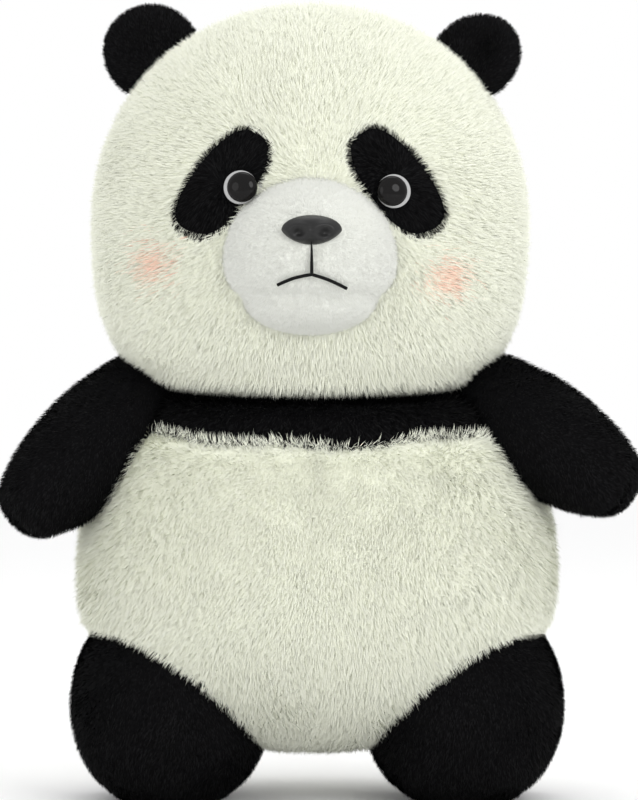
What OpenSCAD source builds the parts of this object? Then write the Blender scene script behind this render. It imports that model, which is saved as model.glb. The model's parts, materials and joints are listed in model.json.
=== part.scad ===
// Stuffed panda, free standing, built from sewn panels, fillings and plastic trim.
// Millimetres, +Z up, the face looks along -Y, the floor is Z = 0 and the origin is
// the middle of the overall box on the floor. "left" is the -X side.

/* [Head] */
// Half width of the head over the pile
head_rx = 97; // [94:1:99]
// Half depth of the head over the pile
head_ry = 84; // [81:1:86]
// Half height of the full head ellipsoid over the pile
head_rz = 96.5; // [94.5:0.5:98]
// Sideways place of the head's middle
head_x = -3; // [-4:0.5:0]
// Fore and aft place of the head's middle
head_y = 13; // [11:0.5:15]
// Height of the head's middle
head_z = 253.5; // [252:0.5:255]

/* [Torso] */
// Half width of the torso over the pile
torso_rx = 107; // [104:1:109]
// Half depth of the torso over the pile
torso_ry = 82; // [79:1:84]
// Height of the torso's widest level
torso_z = 95; // [93:1:97]
// Torso height below its widest level
torso_low = 75; // [73:1:76]
// Torso height above its widest level, before the head's dish is taken out
torso_up = 112; // [109:1:115]
// Fore and aft place of the torso's middle
torso_y = 15; // [13:0.5:17]

/* [Limbs] */
// Sideways place of each hip
hip_x = 65.5; // [64:0.5:67]
// Fore and aft place of each hip
hip_y = 8; // [6:0.5:10]
// Height of each hip
hip_z = 42; // [41:0.5:43]
// Half width of a leg
leg_rx = 43; // [41:0.5:43.5]
// Radius of a leg about its hip
leg_r = 50; // [49:0.5:51]
// Radius of a shoulder
shoulder_r = 26; // [25:0.5:26.5]
// Sideways place of each shoulder
shoulder_x = 90; // [89:0.5:91]
// Radius of a paw
paw_r = 24.5; // [23:0.5:25]

/* [Ears] */
// Radius of an ear's outline
ear_r = 22; // [20:0.5:23]
// Half thickness of an ear
ear_t = 9; // [8:0.5:9]
// Turn of the left ear about its own upright
ear_turn_left = 8; // [0:1:12]
// Turn of the right ear about its own upright
ear_turn_right = 34; // [26:1:36]

/* [Face] */
// Half width of the muzzle
muzzle_rx = 37; // [35:0.5:38]
// Half height of the muzzle
muzzle_rz = 33; // [32:0.5:34]
// Radius of an eye's white backing
eye_r = 7.25; // [7:0.25:7.75]
// Half width of the nose
nose_rx = 12.5; // [12:0.5:13]

/* [Cloth] */
// Thickness of the pile fabric
skin = 2.5; // [2:0.25:2.75]
// Thickness of the short-pile fabric on ears, arms and muzzle
thin_skin = 2; // [1.75:0.25:2.25]

/* [Hidden] */
// Clearance between bodies that move on one another
gap = 0.5;
// Clearance between pieces of one body
fit = 0.15;
// Underside of the head: a shallow ball about the neck's upright axis
neck_y = 10;
dish_r = 400;
dish_z = 171 + dish_r;
neck_r = 44;
neck_t = 7;
// The torso is cut level behind the neck, where the head's back comes down as the chin lifts
nape_y = 35;
nape_z = 170.6;
head_c = [head_x, head_y, head_z];
head_r = [head_rx, head_ry, head_rz];
torso_c = [0, torso_y, torso_z];
// The black yoke is what a shallow ball above the chest takes from the torso's skin
yoke_r = 205;
yoke_z = 144.5 + yoke_r;
shoulder_y = 8;
shoulder_z = 163;
paw_left = [-114, -20, 138.5];
paw_right = [116.5, -20, 146.5];
muzzle_c = [-2.8, -59, 235.2];
muzzle_r = [muzzle_rx, 34, muzzle_rz];
mouth_z = 217.5;
nose_at = [-2.1, -91, 245.2];
nose_rz = 6.2;
nose_depth = 6;
nose_front_r = 22;
eye_left_at = [-31.4, 263.9];
eye_right_at = [31.6, 262.4];
ear_left_at = [-70.7, 76];
ear_right_at = [74, 74];
ear_y = 10;
shank_r = 2.2;
patch_t = 2;
thread_r = 0.6;
ear_rise = 7;
// Beyond everything, for cutting blocks
far = 400;
// Facet counts of large, middling and small round things
big = 120;
mid = 72;
small = 48;

cream = [0.92, 0.92, 0.86];
white = [0.94, 0.94, 0.92];
black = [0.06, 0.06, 0.065];
fibre = [0.97, 0.97, 0.97];
plastic = [0.13, 0.13, 0.13];

function mm3(v) = [v, v, v];
// Depth of an ellipsoid's front at a place across and up
function front_y(c, r, x, z) =
    c[1] - r[1] * sqrt(1 - pow((x - c[0]) / r[0], 2) - pow((z - c[2]) / r[2], 2));
function on_head(p) = [p[0], front_y(head_c, head_r, p[0], p[1]), p[1]];
function head_normal(p) = let (q = on_head(p) - head_c)
    [q[0] / pow(head_rx, 2), q[1] / pow(head_ry, 2), q[2] / pow(head_rz, 2)];
function on_muzzle(x, z) = [x, front_y(muzzle_c, muzzle_r, x, z) - 0.1, z];
// A place on the head's upper rim, seen from the front
function on_rim(d) = let (k = 1 / sqrt(pow(d[0] / head_rx, 2) + pow(d[1] / head_rz, 2)))
    [head_x + d[0] * k, ear_y, head_z + d[1] * k];
// A sine or cosine filled out by a power, which keeps its sign
function full(c, p) = sign(c) * pow(abs(c), p);
// Outline of a slanting lobed patch about a middle, as points across and up
function patch_outline(c, slant, side) = [for (a = [0:7.5:352.5])
    let (s = sin(a), w = 12.2 + 0.8 * s * s - 0.6 * s,
         u = w * full(cos(a), 0.65), v = 27 * full(s, 0.85))
    [c[0] + side * (u * cos(slant) - v * sin(slant)), c[1] + u * sin(slant) + v * cos(slant)]];

module ellipsoid(c, r) { translate(c) scale(r / 100) sphere(100, $fn = big); }
module ball(c, r) { translate(c) rotate([0, 0, 293]) sphere(r, $fn = r > 200 ? 2 * big : big); }
// Children stood at a place with their upright along a direction
module toward(p, n) {
    translate(p) rotate([0, acos(n[2] / norm(n)), atan2(n[1], n[0])]) children();
}
module rod(a, b, r) {
    toward(a, b - a) cylinder(h = norm(b - a), r = r, $fn = 24);
}
module block(a, b) { translate(a) cube(b - a); }
module below_x(x) { block([-far, -far, -far], [x, far, far]); }
module above_x(x) { block([x, -far, -far], [far, far, far]); }
module below_y(y) { block([-far, -far, -far], [far, y, far]); }
module above_y(y) { block([-far, y, -far], [far, far, far]); }

// ---- head ----
module on_face(at) { toward(on_head(at), head_normal(at)) children(); }
module eye_hole(at) {
    on_face(at) cylinder(h = 40, r = shank_r + fit, center = true, $fn = small);
}
module ear_place(d, turn) {
    translate(on_rim(d)) rotate([0, atan2(d[0], d[1]), 0]) rotate([0, 0, turn]) children();
}
module ear_groove(d, turn) {
    ear_place(d, turn) rotate([50, 0, 0]) rotate([0, 90, 0])
        cylinder(h = 2 * ear_r + 4, r = ear_t + 0.8, center = true, $fn = mid);
}
// Shell of pile fabric over the head's filling, open below
module head_shell() {
    difference() {
        intersection() {
            ellipsoid(head_c, head_r);
            ball([0, neck_y, dish_z], dish_r - skin);
        }
        ellipsoid(head_c, head_r - mm3(skin));
    }
}
module face_left() {
    color(cream) difference() {
        head_shell();
        above_x(head_x);
        above_y(ear_y);
        ear_groove(ear_left_at, ear_turn_left);
        eye_hole(eye_left_at);
    }
}
module face_right() {
    color(cream) difference() {
        head_shell();
        below_x(head_x);
        above_y(ear_y);
        ear_groove(ear_right_at, -ear_turn_right);
        eye_hole(eye_right_at);
    }
}
module head_back_left() {
    color(cream) difference() {
        head_shell();
        above_x(head_x);
        below_y(ear_y);
        ear_groove(ear_left_at, ear_turn_left);
    }
}
module head_back_right() {
    color(cream) difference() {
        head_shell();
        below_x(head_x);
        below_y(ear_y);
        ear_groove(ear_right_at, -ear_turn_right);
    }
}
module head_underside() {
    color(cream) difference() {
        intersection() {
            ellipsoid(head_c, head_r);
            ball([0, neck_y, dish_z], dish_r);
        }
        ball([0, neck_y, dish_z], dish_r - skin);
        translate([0, neck_y, 0]) cylinder(h = far, r = neck_r - 4, $fn = mid);
    }
}
module washer_pocket(at) {
    on_face(at) translate([0, 0, -skin - 3]) cylinder(h = 6, r = 8.5, $fn = small);
    on_face(at) translate([0, 0, -16]) cylinder(h = 20, r = shank_r + fit, $fn = small);
}
module head_filling() {
    color(fibre) difference() {
        intersection() {
            ellipsoid(head_c, head_r - mm3(skin + fit));
            ball([0, neck_y, dish_z], dish_r - skin - fit);
        }
        ear_groove(ear_left_at, ear_turn_left);
        ear_groove(ear_right_at, -ear_turn_right);
        washer_pocket(eye_left_at);
        washer_pocket(eye_right_at);
    }
}

// ---- muzzle ----
module muzzle_shell() {
    difference() {
        ellipsoid(muzzle_c, muzzle_r);
        ellipsoid(muzzle_c, muzzle_r - mm3(thin_skin));
        ellipsoid(head_c, head_r + mm3(0.1));
    }
}
module muzzle_skin() {
    color(white) difference() {
        muzzle_shell();
        block([-far, -far, -far], [far, far, mouth_z]);
        nose_shank(fit);
        nose_cap();
    }
}
module chin_skin() {
    color(white) intersection() {
        muzzle_shell();
        block([-far, -far, -far], [far, far, mouth_z]);
    }
}
module muzzle_filling() {
    color(fibre) difference() {
        ellipsoid(muzzle_c, muzzle_r - mm3(thin_skin + fit));
        ellipsoid(head_c, head_r + mm3(0.1));
        nose_shank(fit);
        translate(nose_at + [0, 5.4, 0]) rotate([-90, 0, 0])
            cylinder(h = 4, r = 9.5, $fn = small);
    }
}
module nose_shank(more) {
    translate(nose_at - [0, 2, 0]) rotate([-90, 0, 0])
        cylinder(h = 16 + more, r = shank_r + more, $fn = small);
}
// A lens seen from the front, where two balls meet, with a rounded front
module nose_cap() {
    lens_r = (pow(nose_rx, 2) + pow(nose_rz, 2)) / (2 * nose_rz);
    intersection() {
        ball(nose_at + [0, 0, lens_r - nose_rz], lens_r);
        ball(nose_at - [0, 0, lens_r - nose_rz], lens_r);
        ball(nose_at + [0, nose_front_r - nose_depth, 0], nose_front_r);
        below_y(nose_at[1] + 0.6);
    }
}
module nose() {
    color(plastic) difference() {
        union() { nose_cap(); nose_shank(0); }
        for (s = [-1, 1]) translate(nose_at + [s * 4.6, -4.2, -2.4]) rotate([90, 0, 0])
            cylinder(h = 6, r = 1.4, $fn = 24);
    }
}
module nose_washer() {
    color(white) translate(nose_at + [0, 6.4, 0]) rotate([-90, 0, 0]) difference() {
        cylinder(h = 1.5, r = 9, $fn = small);
        translate([0, 0, -1]) cylinder(h = 4, r = shank_r + fit, $fn = small);
    }
}
module thread_line(a, b, n) {
    for (i = [0:n - 1])
        let (p = a + (b - a) * i / n, q = a + (b - a) * (i + 1.12) / n)
            rod(on_muzzle(p[0], p[1]), on_muzzle(q[0], q[1]), thread_r);
}
module mouth_stitching() {
    color(black) {
        thread_line([-2.1, 238.8], [-2.1, 226.8], 3);
        thread_line([-2.1, 226.8], [-16.2, 222.6], 3);
        thread_line([-2.1, 226.8], [12.3, 221.2], 3);
    }
}

// ---- eyes ----
module eye_patch(at, middle, slant, side) {
    color(black) difference() {
        intersection() {
            ellipsoid(head_c, head_r + mm3(patch_t));
            translate([0, -10, 0]) rotate([90, 0, 0]) linear_extrude(120)
                polygon(patch_outline(middle, slant, side));
        }
        ellipsoid(head_c, head_r + mm3(0.1));
        eye_hole(at);
        ellipsoid(muzzle_c, muzzle_r + mm3(0.2));
        on_face(at) translate([0, 0, 1.4]) cylinder(h = 20, r = eye_r + 0.2, $fn = small);
    }
}
module eye_patch_left() { eye_patch(eye_left_at, [-40, 266], 37, -1); }
module eye_patch_right() { eye_patch(eye_right_at, [34, 266.5], 37, 1); }
module eye_white(at) {
    color(white) on_face(at) {
        translate([0, 0, 1.5]) cylinder(h = 1.5, r = eye_r, $fn = small);
        translate([0, 0, -11]) cylinder(h = 13, r = shank_r, $fn = small);
    }
}
module eye_white_left() { eye_white(eye_left_at); }
module eye_white_right() { eye_white(eye_right_at); }
module eye_dome(at, inward) {
    color(plastic) on_face(at) translate([0, inward, 0]) intersection() {
        translate([0, 0, 3 + 3.2 - 8]) sphere(8, $fn = mid);
        translate([0, 0, 3]) cylinder(h = 6, r = 6.6, $fn = small);
    }
}
module eye_dome_left() { eye_dome(eye_left_at, 0.8); }
module eye_dome_right() { eye_dome(eye_right_at, -0.8); }
module eye_washer(at) {
    color(white) on_face(at) translate([0, 0, -skin - 2.2]) difference() {
        cylinder(h = 1.4, r = 8, $fn = small);
        translate([0, 0, -1]) cylinder(h = 4, r = shank_r + fit, $fn = small);
    }
}
module eye_washer_left() { eye_washer(eye_left_at); }
module eye_washer_right() { eye_washer(eye_right_at); }

// ---- ears ----
module ear_shape() {
    intersection() {
        translate([0, 0, ear_rise]) scale([ear_r, ear_t, ear_r] / 100) sphere(100, $fn = big);
        union() {
            block([-far, -far, 0], [far, far, far]);
            rotate([0, 90, 0]) cylinder(h = 4 * ear_r, r = ear_t - 0.4, center = true, $fn = mid);
        }
    }
}
module ear_front(d, turn) { color(black) ear_place(d, turn) intersection() { ear_shape(); below_y(0); } }
module ear_back(d, turn) { color(black) ear_place(d, turn) intersection() { ear_shape(); above_y(0); } }
module ear_front_left() { ear_front(ear_left_at, ear_turn_left); }
module ear_back_left() { ear_back(ear_left_at, ear_turn_left); }
module ear_front_right() { ear_front(ear_right_at, -ear_turn_right); }
module ear_back_right() { ear_back(ear_right_at, -ear_turn_right); }

// ---- neck ----
module neck_filling() {
    color(fibre) difference() {
        intersection() {
            ball([0, neck_y, dish_z], dish_r + neck_t);
            translate([0, neck_y, 0]) cylinder(h = dish_z, r = neck_r - 2, $fn = mid);
        }
        ball([0, neck_y, dish_z], dish_r + gap);
    }
}
module neck_seam() {
    color(black) difference() {
        intersection() {
            ball([0, neck_y, dish_z], dish_r + neck_t - 2);
            translate([0, neck_y, 0]) cylinder(h = dish_z, r = neck_r - 0.5, $fn = mid);
        }
        ball([0, neck_y, dish_z], dish_r + gap);
        translate([0, neck_y, 0]) cylinder(h = dish_z, r = neck_r - 2, $fn = mid);
    }
}

// ---- torso ----
module torso_hull(inset) {
    intersection() {
        ellipsoid(torso_c, [torso_rx, torso_ry, torso_up] - mm3(inset));
        block([-far, -far, torso_z], [far, far, far]);
    }
    intersection() {
        ellipsoid(torso_c, [torso_rx, torso_ry, torso_low] - mm3(inset));
        block([-far, -far, -far], [far, far, torso_z]);
    }
}
module torso_cuts() {
    block([-far, nape_y, nape_z], [far, far, far]);
    ball([0, neck_y, dish_z], dish_r + gap);
    translate([0, neck_y, dish_z - dish_r - neck_t - gap]) cylinder(h = 40, r = neck_r, $fn = mid);
    arm_shape(-1, -gap);
    arm_shape(1, -gap);
    for (s = [-1, 1]) leg_shape(s, -gap);
}
module torso_skin() {
    difference() {
        torso_hull(0);
        torso_hull(skin);
        torso_cuts();
    }
}
module yoke_zone() { ball([0, torso_y, yoke_z], yoke_r); }
module belly_skin() {
    color(cream) difference() {
        intersection() { torso_skin(); below_y(torso_y); }
        yoke_zone();
    }
}
module back_left_skin() {
    color(cream) difference() {
        intersection() { torso_skin(); above_y(torso_y); below_x(0); }
        yoke_zone();
    }
}
module back_right_skin() {
    color(cream) difference() {
        intersection() { torso_skin(); above_y(torso_y); above_x(0); }
        yoke_zone();
    }
}
module shoulder_yoke() { color(black) intersection() { torso_skin(); yoke_zone(); } }
module torso_filling() {
    color(fibre) difference() {
        torso_hull(skin + fit);
        torso_cuts();
    }
}

// ---- arms ----
function shoulder(s) = [s * shoulder_x, shoulder_y, shoulder_z];
function paw(s) = s < 0 ? paw_left : paw_right;
// Half outline of a tapered round-ended rod: a ball, a tangent cone and a smaller ball
function rod_outline(ra, rb, d) = let (k = acos((ra - rb) / d)) concat(
    [for (i = [0:16]) let (t = 180 - i * (180 - k) / 16) [ra * sin(t), ra * cos(t)]],
    [for (i = [0:12]) let (t = k - i * k / 12) [rb * sin(t), d + rb * cos(t)]]);
module arm_shape(s, inset) {
    a = shoulder(s);
    b = paw(s);
    toward(a, b - a) rotate([0, 0, 37]) rotate_extrude($fn = mid)
        polygon(rod_outline(shoulder_r - inset, paw_r - inset, norm(b - a)));
}
module arm_skin(s) { difference() { arm_shape(s, 0); arm_shape(s, thin_skin); } }
// Everything in front of or behind an upright plane along the arm
module arm_half(s, side) {
    a = shoulder(s);
    b = paw(s);
    translate(a) rotate([0, 0, atan2(b[1] - a[1], b[0] - a[0]) + (s * side > 0 ? 0 : 180)])
        translate([-far, 0, -far]) cube([2 * far, far, 2 * far]);
}
module arm_front(s) { color(black) intersection() { arm_skin(s); arm_half(s, -1); } }
module arm_back(s) { color(black) intersection() { arm_skin(s); arm_half(s, 1); } }
module arm_front_left() { arm_front(-1); }
module arm_back_left() { arm_back(-1); }
module arm_filling_left() { color(fibre) arm_shape(-1, thin_skin + fit); }
module arm_front_right() { arm_front(1); }
module arm_back_right() { arm_back(1); }
module arm_filling_right() { color(fibre) arm_shape(1, thin_skin + fit); }

// ---- legs ----
module leg_shape(s, inset) {
    ellipsoid([s * hip_x, hip_y, hip_z], [leg_rx, leg_r, leg_r] - mm3(inset));
}
module leg_skin(s) {
    difference() {
        leg_shape(s, 0);
        leg_shape(s, skin);
        block([-far, -far, -far], [far, far, skin]);
    }
}
module sole(s) {
    color(black) intersection() {
        leg_shape(s, 0);
        block([-far, -far, 0], [far, far, skin]);
    }
}
module leg_filling(s) {
    color(fibre) difference() {
        leg_shape(s, skin + fit);
        block([-far, -far, -far], [far, far, skin + fit]);
    }
}
module leg_front_left() { color(black) intersection() { leg_skin(-1); below_y(hip_y); } }
module leg_back_left() { color(black) intersection() { leg_skin(-1); above_y(hip_y); } }
module sole_left() { sole(-1); }
module leg_filling_left() { leg_filling(-1); }
module leg_front_right() { color(black) intersection() { leg_skin(1); below_y(hip_y); } }
module leg_back_right() { color(black) intersection() { leg_skin(1); above_y(hip_y); } }
module sole_right() { sole(1); }
module leg_filling_right() { leg_filling(1); }

face_left();
face_right();
head_back_left();
head_back_right();
head_underside();
head_filling();
muzzle_skin();
chin_skin();
muzzle_filling();
nose();
nose_washer();
mouth_stitching();
eye_patch_left();
eye_patch_right();
eye_white_left();
eye_white_right();
eye_dome_left();
eye_dome_right();
eye_washer_left();
eye_washer_right();
ear_front_left();
ear_back_left();
ear_front_right();
ear_back_right();
neck_filling();
neck_seam();
belly_skin();
back_left_skin();
back_right_skin();
shoulder_yoke();
torso_filling();
arm_front_left();
arm_back_left();
arm_filling_left();
arm_front_right();
arm_back_right();
arm_filling_right();
leg_front_left();
leg_back_left();
sole_left();
leg_filling_left();
leg_front_right();
leg_back_right();
sole_right();
leg_filling_right();
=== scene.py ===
"""Visual model of the plush panda: puffed cloth skins with a real pile, eyes, a nose and stitching."""
import json
import math
from collections import namedtuple

import bmesh
import bpy
import numpy as np
from mathutils import Matrix, Vector
from mathutils.kdtree import KDTree


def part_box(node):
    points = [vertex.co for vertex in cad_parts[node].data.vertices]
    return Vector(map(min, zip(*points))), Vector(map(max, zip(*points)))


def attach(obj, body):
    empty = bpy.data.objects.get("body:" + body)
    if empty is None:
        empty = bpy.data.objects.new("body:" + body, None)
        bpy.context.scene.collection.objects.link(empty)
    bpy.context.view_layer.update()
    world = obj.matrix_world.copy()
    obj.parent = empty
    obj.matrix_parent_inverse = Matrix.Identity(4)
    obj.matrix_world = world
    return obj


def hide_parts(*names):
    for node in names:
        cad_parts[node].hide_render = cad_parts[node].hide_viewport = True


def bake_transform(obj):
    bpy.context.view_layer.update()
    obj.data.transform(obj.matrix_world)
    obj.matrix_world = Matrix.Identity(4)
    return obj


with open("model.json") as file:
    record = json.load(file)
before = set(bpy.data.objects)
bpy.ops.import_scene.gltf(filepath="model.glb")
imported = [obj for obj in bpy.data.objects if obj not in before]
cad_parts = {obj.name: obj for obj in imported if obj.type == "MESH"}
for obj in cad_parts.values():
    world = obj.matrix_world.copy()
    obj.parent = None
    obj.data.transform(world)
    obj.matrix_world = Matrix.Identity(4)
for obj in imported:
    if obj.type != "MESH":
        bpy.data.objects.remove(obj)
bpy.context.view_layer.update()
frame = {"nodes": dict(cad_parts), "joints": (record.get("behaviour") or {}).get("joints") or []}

MM = 0.001
UP = np.array([0.0, 0.0, 1.0])
STRANDS = 1.0  # share of the full pile that is grown
FAR = 1.0  # a distance that takes a place out of reach of every seam
SIDES = ("left", "right")


# ---------- sizes, from the frame ----------
def span(*nodes):
    """(middle, half sizes) of the box round several CAD nodes."""
    boxes = [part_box(n) for n in nodes]
    low = np.min([np.array(b[0]) for b in boxes], axis=0)
    high = np.max([np.array(b[1]) for b in boxes], axis=0)
    return (low + high) / 2, (high - low) / 2


def joint(name):
    """A joint's (place, axis)."""
    j = next(j for j in frame["joints"] if j["name"] == name)
    return np.array(j["pos_m"], float), np.array(j["axis"], float)


NECK = joint("head_turn")[0]
SKIN_INSET = 4 * MM  # of the head's and torso's cloth under their pile
FIBRE_INSET = 9 * MM  # and of the filling inside it

HEAD_NODES = ("face_left", "face_right", "head_back_left", "head_back_right")
HEAD_BOX, HEAD_R = span(*HEAD_NODES)
HEAD_RZ = HEAD_R[0] * 0.995  # half height, a little under the half width
HEAD = np.array([HEAD_BOX[0], HEAD_BOX[1], HEAD_BOX[2] + HEAD_R[2] - HEAD_RZ])
HEAD_RADII = np.array([HEAD_R[0], HEAD_R[1], HEAD_RZ])
HEAD_ROUND = 2.05  # power of the head's outline, where 2 is an ellipsoid and more is squarer
HEAD_JOWL = 0.45  # how much squarer it gets below
JOWL_OVER = 0.35  # share of the head's half height over which it does
HEAD_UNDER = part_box("head_underside")[0][2]  # lowest level of the head
HEAD_RIM = 14 * MM  # height of the underside panel's edge over that level
HEAD_RIM_R = 66 * MM  # radius of the underside panel
SIDE_SEAM = 3 * MM  # how far the head's side seam is in front of its middle
DISH_R = 400 * MM  # radius of the head's shallow underside
DISH = np.array([NECK[0], NECK[1], HEAD_UNDER + DISH_R])  # and its middle
COLLAR_R = 40 * MM  # radius round the neck without any pile

TORSO_NODES = ("belly_skin", "back_left_skin", "back_right_skin", "shoulder_yoke")
TORSO_BOX, TORSO_R = span(*TORSO_NODES)
TORSO_LOW_R = 75 * MM
TORSO_UP_R = 112 * MM
TORSO = np.array([0, TORSO_BOX[1], TORSO_BOX[2] - TORSO_R[2] + TORSO_LOW_R])
YOKE_R = 205 * MM  # radius of the ball that bounds the black shoulder band
YOKE_Z = 349.5 * MM  # height of that ball's middle

HIPS = {s: joint(f"leg_{s}_kick")[0] for s in SIDES}
LEG_HALF = span("leg_front_left", "leg_back_left", "sole_left")[1]
LEG_R = np.array([LEG_HALF[0], LEG_HALF[1], LEG_HALF[1]])
LEG_FORWARD = 5 * MM  # how much further a leg bulges in front than behind
LEG_WIDER = 1.5 * MM  # how much further it bulges towards the other leg
SOLE_FLAT = 2.1 * MM  # how far the leg's ball is cut off by the sole
SOLE_Z = 3.2 * MM  # height of the sole panel's edge
SOLE_SEAM = 3 * MM  # height of the seam round it

SHOULDERS = {s: joint(f"arm_{s}_raise")[0] for s in SIDES}
ROOT_R = 27 * MM  # radius of an arm where it leaves the shoulder
ROOT_IN = 10 * MM  # how far the root's middle is inwards of the shoulder joint
ROOT_UP = 9 * MM  # how far above it
ROOT_FORWARD = 8 * MM  # and how far in front of it
PAW_R = 24.5 * MM

EAR_R = 22 * MM
EAR_THICK = 9 * MM
EAR_RISE = 5.5 * MM  # how far an ear's middle is outwards of its fold
EAR_INSET = 0.5 * MM  # of an ear's cloth under its pile

MUZZLE_BOX, MUZZLE_HALF = span("muzzle_skin", "chin_skin")
MUZZLE_R = np.array([MUZZLE_HALF[0], 34 * MM, MUZZLE_HALF[2]])
MUZZLE = np.array([MUZZLE_BOX[0], MUZZLE_BOX[1] - MUZZLE_HALF[1] + MUZZLE_R[1], MUZZLE_BOX[2]])
MUZZLE_TALLER = 4 * MM  # how much higher the stuffed muzzle swells above
MUZZLE_WIDER = 1 * MM  # and to each side
MOUTH_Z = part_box("muzzle_skin")[0][2]  # level of the crease over the chin

PATCHES = {"left": (np.array([-40.0, 266.0]) * MM, -1), "right": (np.array([34.0, 266.5]) * MM, 1)}
PATCH_SLANT = math.radians(37)
PATCH_LONG = 26 * MM  # half length
PATCH_SIDES, PATCH_ENDS = 0.8, 0.95  # how full the outline's sides and ends are
CHEEKS = np.array([[-67.5, 234.0], [53.5, 227.5]]) * MM
CHEEK_R = 7.5 * MM
NOSE_DEEP = 6.2 * MM
NOSTRIL = np.array([5.3, -1.2]) * MM  # across and up from the nose's middle
EYE_BACKING_R = 7.1 * MM
EYE_DOME_R = 6.4 * MM
EYE_INWARD = 0.9 * MM  # how far the dome is off the backing's middle, towards the nose
MOUTH_LINES = (((-2.1, 240.0), (-2.1, 233.0), (-2.1, 226.8)),
               ((-2.1, 226.8), (-7.5, 225.9), (-12.0, 224.5), (-16.2, 222.6)),
               ((-2.1, 226.8), (3.0, 225.4), (8.0, 223.3), (12.3, 221.2)))  # across and up, in mm
THREAD_R = 0.62 * MM
THIN_ABOVE = 236  # height in mm from which the upright stitch thins out under the nose

SLEEVE_R = 54 * MM
SLEEVE_BULGE = 5 * MM
SLEEVE_FLAT = 0.8  # its depth over its width
SLEEVE_DOWN, SLEEVE_UP = 6 * MM, 14 * MM  # its ends under and over the neck joint


# ---------- small helpers ----------
def unit(v):
    return v / np.maximum(np.linalg.norm(v, axis=-1, keepdims=True), 1e-9)


def tangent(v, n):
    """Directions v laid flat on the surface whose normals are n."""
    return unit(v - (v * n).sum(-1, keepdims=True) * n)


def hill(distance, width):
    """1 at distance 0, falling smoothly to about a third at the given width."""
    return np.exp(-(distance / width) ** 2)


def filled(c, power):
    """A sine or cosine filled out by a power, which keeps its sign."""
    return np.sign(c) * np.abs(c) ** power


def waves(p, scale, seed, count=6):
    """Three smooth pseudo-random fields at points p, about -1 to 1, that change over the given length."""
    r = np.random.default_rng(seed)
    out = np.zeros((len(p), 3))
    for _ in range(count):
        k = r.normal(size=(3, 3)) / scale
        out += np.sin(p @ k + r.uniform(0, 2 * math.pi, 3))
    return out / math.sqrt(count)


def in_ellipsoid(p, middle, radii):
    return (((p - middle) / radii) ** 2).sum(1) < 1


# ---------- materials ----------
def principled(name, **sockets):
    """A new material. Its sockets are given with _ for each space."""
    m = bpy.data.materials.new(name)
    m.use_nodes = True
    shader = m.node_tree.nodes["Principled BSDF"]
    for key, value in sockets.items():
        shader.inputs[key.replace("_", " ")].default_value = value
    return m


def rgba(*c):
    return (*c, 1.0)


def add_weave(m, scale, depth, low=None, high=None):
    """Procedural cloth grain: a fine bump and, with two colours, a mottled tint."""
    tree = m.node_tree
    shader = tree.nodes["Principled BSDF"]
    place = tree.nodes.new("ShaderNodeTexCoord")
    noise = tree.nodes.new("ShaderNodeTexNoise")
    noise.inputs["Scale"].default_value = scale
    noise.inputs["Detail"].default_value = 4
    tree.links.new(place.outputs["Object"], noise.inputs["Vector"])
    bump = tree.nodes.new("ShaderNodeBump")
    bump.inputs["Strength"].default_value = 0.5
    bump.inputs["Distance"].default_value = depth
    tree.links.new(noise.outputs["Fac"], bump.inputs["Height"])
    tree.links.new(bump.outputs["Normal"], shader.inputs["Normal"])
    if low:
        ramp = tree.nodes.new("ShaderNodeValToRGB")
        ramp.color_ramp.elements[0].position = 0.35
        ramp.color_ramp.elements[1].position = 0.65
        ramp.color_ramp.elements[0].color = rgba(*low)
        ramp.color_ramp.elements[1].color = rgba(*high)
        tree.links.new(noise.outputs["Fac"], ramp.inputs["Fac"])
        tree.links.new(ramp.outputs["Color"], shader.inputs["Base Color"])
    return m


def cloth(name, low, high, sheen=0.2, specular=0.2):
    """Knitted backing or fibre, mottled between two colours."""
    m = principled(name, Roughness=0.95, Sheen_Weight=sheen, Sheen_Roughness=0.6,
                   Specular_IOR_Level=specular)
    return add_weave(m, 900, 0.6 * MM, low, high)


def pile(name, colour, sheen=0.1, rough=0.9, specular=0.15):
    """One tint of a pile's strands."""
    return principled(name, Base_Color=rgba(*colour), Roughness=rough, Sheen_Weight=sheen,
                      Sheen_Roughness=0.5, Specular_IOR_Level=specular)


CREAM_CLOTH = cloth("cream_backing", (0.84, 0.855, 0.72), (0.88, 0.895, 0.77))
# painted shade: the muzzle's backing is coloured darker than its white pile, so that where it shows
# between the strands it matches their shade
WHITE_CLOTH_IN_PAINTED_SHADE = cloth("white_backing", (0.70, 0.71, 0.66), (0.72, 0.73, 0.68), 0.0)
BLACK_CLOTH = cloth("black_backing", (0.003, 0.003, 0.0033), (0.005, 0.005, 0.0055), 0.0, 0.05)
FIBRE = cloth("fibre_stuffing", (0.80, 0.80, 0.80), (0.90, 0.90, 0.90))
CREAM = [pile("cream_pile_1", (0.87, 0.885, 0.75)), pile("cream_pile_2", (0.885, 0.90, 0.775)),
         pile("cream_pile_3", (0.86, 0.875, 0.735)), pile("cream_pile_4", (0.895, 0.91, 0.80))]
BLUSH = [pile("blush_pile_1", (0.96, 0.72, 0.58)), pile("blush_pile_2", (0.96, 0.64, 0.51))]
WHITE = [pile("white_pile_1", (0.79, 0.80, 0.75)), pile("white_pile_2", (0.80, 0.81, 0.765)),
         pile("white_pile_3", (0.78, 0.79, 0.735))]
BLACK = [pile("black_pile_1", (0.0045, 0.0045, 0.0048), 0.0, 0.8, 0.05),
         pile("black_pile_2", (0.0080, 0.0080, 0.0086), 0.0, 0.7, 0.10),
         pile("black_pile_3", (0.0030, 0.0030, 0.0032), 0.0, 0.9, 0.03)]

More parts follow.
